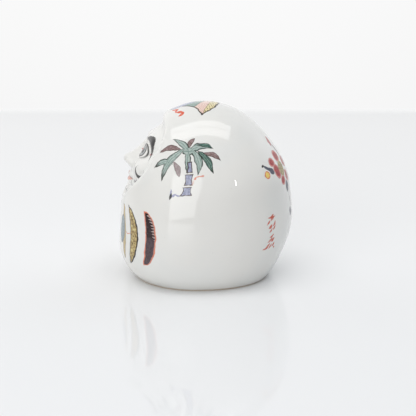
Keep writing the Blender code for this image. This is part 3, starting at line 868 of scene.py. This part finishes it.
def paint_face(brush, place, grain, paint):
    """Brows, eyes, lips, hooked moustache and a few thin lines of beard, the same on both sides."""
    across = abs(place.dot(1.0, 0.0, 0.0))
    level = place.dot(0.0, math.sin(FACE_TILT), math.cos(FACE_TILT)) + MIDDLE_SHIFT * math.sin(FACE_TILT)
    behind = place.dot(0.0, 1.0, 0.0).over(-3.0)
    on = behind.plus_times(OFF_SHEET, across).on_sheet(level)
    feather = (place.noise(2.6, 2.0, 0.6) - 0.5) * 0.9
    lips = leaf(on, (-5.4, MOUTH_LEVEL + 0.1), (5.4, MOUTH_LEVEL + 0.1), 1.75, -0.25)
    brush.lay(lips, paint.orange, 0.6, 0.5, film=0.5)
    brush.lay(leaf(on, (-6.2, MOUTH_LEVEL + 0.2), (6.2, MOUTH_LEVEL + 0.2), 0.24, -0.2), paint.line, 0.7)
    eye = petal(on, (EYE_OFFSET, EYE_LEVEL), 0.0, 4.3, 3.2)
    iris = disc(on, (EYE_OFFSET, EYE_LEVEL), 2.6)
    grey = grain.ease(0.35, 0.65).mix(paint.grey, tone(120, 124, 126))
    brush.lay(iris.cut(eye.distance), grey, 0.85, 0.3)
    brush.line(iris, paint.black, 0.28, eye.distance.ease(0.1, -0.1), 0.2)
    brush.lay(disc(on, (EYE_OFFSET, EYE_LEVEL), 1.1), paint.black, 0.95)
    brush.line(eye, paint.black, 0.2, level.ease(EYE_LEVEL - 3.0, EYE_LEVEL + 1.0).plus_times(0.5, 0.45), 0.25)
    dabs = leaves(on, (EYE_OFFSET - 5.6, EYE_LEVEL - 0.9, EYE_OFFSET - 4.0, EYE_LEVEL + 0.5, 0.5, 0.2),
                  (EYE_OFFSET + 5.4, EYE_LEVEL + 0.4, EYE_OFFSET + 7.6, EYE_LEVEL + 1.6, 0.55, 0.2))
    brush.lay(group(dabs), paint.red, 0.9)
    brow = leaf(on, (2.4, BROW_LEVEL - 0.8), (15.6, EYE_LEVEL - 1.8), 1.7, 5.2)
    brush.lay(brow.inset(feather), paint.black, 0.95, 0.3)
    curls = [hook(on, (14.3, 34.8), 2.5, 0.85, 1.5, 265.0), hook(on, (10.1, 31.0), 2.3, 0.65, 1.0, 270.0),
             hook(on, (7.0, 27.4), 1.9, 0.5, 0.7, 268.0)]
    brush.lay(group(curls).inset(feather * 0.3), paint.black, 0.95, 0.25)
    beard = [leaf(on, (0.9 + 1.7 * i, 24.2 + 0.35 * i), (0.6 + 1.45 * i, 19.4 + 0.8 * i), 0.16, 0.15)
             for i in range(5)]
    brush.lay(group(beard), tone(84, 88, 92), 0.7)


def make_glaze(paint):
    """Glazed porcelain with its whole overglaze painting, toasted foot line and bare foot."""
    material = bpy.data.materials.new("glazed_porcelain")
    material.use_nodes = True
    tree = material.node_tree
    shader = tree.nodes["Principled BSDF"]
    start = Wire(tree)
    object_place = start.node("ShaderNodeTexCoord", output=3)
    place = start.node("ShaderNodeVectorMath", {"operation": "SCALE"}, {0: object_place, "Scale": 1000.0})
    grain = place.noise(1.1, 3.0, 0.6)
    cloud = place.noise(0.045, 2.0, 0.5)
    x, y, z = place.dot(1.0, 0.0, 0.0), place.dot(0.0, 1.0, 0.0), place.dot(0.0, 0.0, 1.0)

    pooled = cloud.ease(0.42, 0.72) * 0.35
    ground = pooled.mix(paint.glaze, paint.pooled_glaze)
    speck = place.noise(0.8, 0.0, 0.5).ease(0.84, 0.90)
    ground = (speck * 0.12).mix(ground, tone(170, 158, 144))
    painting = Painting(ground, 0.0)
    wander = place.noise(0.42, 1.0, 0.5, output=1).vector_maths("SUBTRACT", (0.5, 0.5, 0.5))
    by_hand = wander.vector_maths("ADD", place)
    painting = paint_motif(paint_face, place, grain, painting, paint)
    for painter in (paint_robe, paint_palm, paint_blossom, paint_strokes, paint_book, paint_sprig):
        painting = paint_motif(painter, by_hand, grain, painting, paint)

    plan = (x * x + y * y) ** 0.5
    bare = z.ease(0.36, 0.2).most(z.ease(5.0, 4.9) * plan.ease(25.6, 25.2))
    toasted = z.ease(0.95, 0.4) * (1.0 - bare)
    grit = by_hand.noise(3.0, 3.0, 0.7)
    biscuit = grit.ease(0.3, 0.7).mix(paint.biscuit, tone(186, 168, 146))
    surface = (toasted * 0.55).mix(painting.colour, paint.foot_line)
    surface = bare.mix(surface, biscuit)

    fine = by_hand.noise(0.9, 2.0, 0.5)
    enamel_wave = by_hand.noise(3.4, 2.0, 0.6)
    relief = painting.film * (enamel_wave - 0.5) * 0.016 + fine * 0.003 + bare * grit * 0.03
    roughness = (fine - 0.5) * 0.02 + 0.04 + painting.film * 0.05 + bare * 0.6
    normal = start.node("ShaderNodeBump", None, {"Strength": 1.0, "Distance": MM, "Height": relief})
    start.feed(shader, Base_Color=surface, Roughness=roughness, Normal=normal)
    shader.inputs["IOR"].default_value = 1.5
    shader.inputs["Metallic"].default_value = 0.0
    return material


class DARUMA_OT_make_figure(bpy.types.Operator):
    """Builds the glazed and painted body in the cast solid's place"""
    bl_idname = "daruma.make_figure"
    bl_label = "Painted figure"
    bl_options = {"REGISTER", "UNDO"}

    def execute(self, context):
        form = context.scene.daruma_form
        mesh = make_body_mesh(form)
        mesh.materials.append(make_glaze(context.scene.daruma_paint))
        figure = bpy.data.objects.new("painted_figure", mesh)
        context.collection.objects.link(figure)
        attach(figure, "root")
        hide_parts(CAD_NODE)
        return {"FINISHED"}


# Studio

SOFTBOXES = (  # name, azimuth and elevation in degrees, distance, size, brightness and roll
    ("left_softbox", 40.0, 40.0, 1.2, (2.2, 0.9), 0.2, 0.0),
    ("low_panel", 67.0, 16.0, 1.3, (0.95, 0.76), 2.3, 3.0),
    ("small_lamp", 124.0, 24.0, 1.0, (0.032, 0.12), 22.0, 0.0))
OVERHEAD_PANELS = (  # name, middle, size and brightness
    ("overhead_panel", (0.21, -0.05), (0.24, 1.2), 2.8),
    ("overhead_strip", (-0.03, -0.05), (0.2, 1.2), 2.4))
PANEL_HEIGHT = 1.04
BLACKED_OUT = (0.0, 0.0, 0.0)
LIT_POINT = (0.0, 0.0, 0.04)
TABLE_REACH = 3.0    # how far the table goes on to the sides and toward the viewer
SOFT_END = 0.02      # over which the table melts into the backdrop
ROOM_LIGHT = (  # azimuth and elevation in degrees, brightness, how narrow, and how blue
    (-90.0, 0.0, 0.965, 2.0, 0.0), (0.0, 60.0, 0.22, 6.0, 0.0), (45.0, 20.0, 0.38, 6.0, 0.0),
    (90.0, 60.0, 0.42, 6.0, 0.0), (180.0, 60.0, 0.42, 6.0, 1.0), (213.0, 22.0, 1.08, 9.0, 1.0),
    (322.0, 20.0, 0.86, 9.0, 0.0))


def make_table_material(stage):
    material = bpy.data.materials.new("glossy_table")
    material.use_nodes = True
    tree = material.node_tree
    shader = tree.nodes["Principled BSDF"]
    start = Wire(tree)
    place = start.node("ShaderNodeTexCoord", output=3)
    haze = place.noise(9.0, 2.0, 0.5)
    rough = haze * 0.03 + 0.02
    toward = place.dot(1.0, 0.0, 0.0)
    ending = toward.ease(SOFT_END - stage.table_edge, -stage.table_edge)
    # Painted light and shade: lighter behind the figure, darker toward the viewer, standing in for uneven light
    # on the table
    shade = toward.ease(-stage.table_edge, 0.24).mix(stage.table_far_painted_light, stage.table_near_painted_shade)
    base = ending.mix(shade, BLACKED_OUT)
    glow = ending.mix(BLACKED_OUT, stage.table_end)
    start.feed(shader, Base_Color=base, Roughness=rough, Emission_Color=glow)
    shader.inputs["Emission Strength"].default_value = 1.0
    shader.inputs["IOR"].default_value = 1.33
    return material


def area_light(name, place, aim, size, strength, roll=0.0):
    """A rectangular softbox whose strength is its own brightness, whatever its size."""
    light = bpy.data.lights.new(name, "AREA")
    light.shape = "RECTANGLE"
    light.size, light.size_y = size
    light.energy = strength * math.pi * size[0] * size[1]
    lamp = bpy.data.objects.new(name, light)
    lamp.location = place
    lamp.rotation_euler = (Vector(place) - Vector(aim)).to_track_quat("Z", "Y").to_euler()
    lamp.rotation_euler.rotate_axis("Z", math.radians(roll))
    bpy.context.collection.objects.link(lamp)


def light_from(name, azimuth, elevation, distance, size, strength, roll):
    """A softbox seen from the figure in the direction given in degrees; azimuth 0 is the figure's front."""
    turn, lift = math.radians(azimuth), math.radians(elevation)
    way = Vector((math.sin(turn) * math.cos(lift), -math.cos(turn) * math.cos(lift), math.sin(lift)))
    middle = Vector(LIT_POINT)
    area_light(name, middle + way * distance, middle, size, strength, roll)


def light_room(scene):
    """Light from the white room, brighter in some directions, with a pale backdrop behind the table."""
    world = bpy.data.worlds.new("white_room")
    scene.world = world
    world.use_nodes = True
    start = Wire(world.node_tree)
    way = start.node("ShaderNodeTexCoord")
    sums = {0.0: None, 1.0: None}
    for azimuth, elevation, brightness, narrow, blue in ROOM_LIGHT:
        turn, lift = math.radians(azimuth), math.radians(elevation)
        toward = way.dot(math.sin(turn) * math.cos(lift), -math.cos(turn) * math.cos(lift), math.sin(lift))
        glow = toward.most(0.0) ** narrow * brightness
        sums[blue] = glow if sums[blue] is None else sums[blue] + glow
    white, cool = sums[0.0], sums[1.0]
    room = start.node("ShaderNodeCombineColor", None,
                      {0: white + cool * 0.95, 1: white + cool, 2: white + cool * 1.06})
    start.feed(world.node_tree.nodes["Background"], Color=room)


class DARUMA_OT_make_stage(bpy.types.Operator):
    """Builds the table, the backdrop, the lights, the room's light and the camera"""
    bl_idname = "daruma.make_stage"
    bl_label = "Studio stage"
    bl_options = {"REGISTER", "UNDO"}

    def execute(self, context):
        stage = context.scene.daruma_stage
        edge = -stage.table_edge
        mesh = bpy.data.meshes.new("table")
        far = TABLE_REACH
        corners = [(edge, -far, 0.0), (far, -far, 0.0), (far, far, 0.0), (edge, far, 0.0)]
        mesh.from_pydata(corners, [], [(0, 1, 2, 3)])
        mesh.materials.append(make_table_material(stage))
        table = bpy.data.objects.new("table", mesh)
        context.collection.objects.link(table)

        for name, azimuth, elevation, distance, size, strength, roll in SOFTBOXES:
            light_from(name, azimuth, elevation, distance, size, strength, roll)
        for name, middle, size, strength in OVERHEAD_PANELS:
            area_light(name, (*middle, PANEL_HEIGHT), (*middle, 0.0), size, strength)
        light_room(context.scene)

        camera = bpy.data.cameras.new("camera")
        camera.lens = stage.lens
        camera.sensor_width = 36.0
        camera.clip_start = 0.01
        viewer = bpy.data.objects.new("camera", camera)
        aim = Vector((0.0, stage.aim_side, stage.aim_height))
        way_back = Vector((math.cos(stage.pitch), 0.0, math.sin(stage.pitch)))
        viewer.location = aim + way_back * stage.distance
        viewer.rotation_euler = way_back.to_track_quat("Z", "Y").to_euler()
        context.collection.objects.link(viewer)
        context.scene.camera = viewer
        context.scene.view_settings.view_transform = "Standard"
        context.scene.view_settings.look = "None"
        return {"FINISHED"}


class DARUMA_PT_panel(bpy.types.Panel):
    """Daruma pieces and stage"""
    bl_idname = "DARUMA_PT_panel"
    bl_label = "Porcelain Daruma"
    bl_space_type = "VIEW_3D"
    bl_region_type = "UI"
    bl_category = "Daruma"

    def draw(self, context):
        layout = self.layout
        layout.operator(DARUMA_OT_make_figure.bl_idname)
        layout.operator(DARUMA_OT_make_stage.bl_idname)
        for group_name in SETTINGS:
            settings = getattr(context.scene, group_name)
            box = layout.box()
            for name in settings.__annotations__:
                box.prop(settings, name)


SETTINGS = {"daruma_form": DarumaForm, "daruma_paint": DarumaPaint, "daruma_stage": DarumaStage}
CLASSES = (*SETTINGS.values(), DARUMA_OT_make_figure, DARUMA_OT_make_stage, DARUMA_PT_panel)


def register():
    for item in CLASSES:
        bpy.utils.register_class(item)
    for name, group_type in SETTINGS.items():
        setattr(bpy.types.Scene, name, bpy.props.PointerProperty(type=group_type))


def unregister():
    for name in SETTINGS:
        delattr(bpy.types.Scene, name)
    for item in reversed(CLASSES):
        bpy.utils.unregister_class(item)


def main():
    register()
    bpy.ops.daruma.make_figure()
    bpy.ops.daruma.make_stage()


if __name__ == "__main__":
    main()
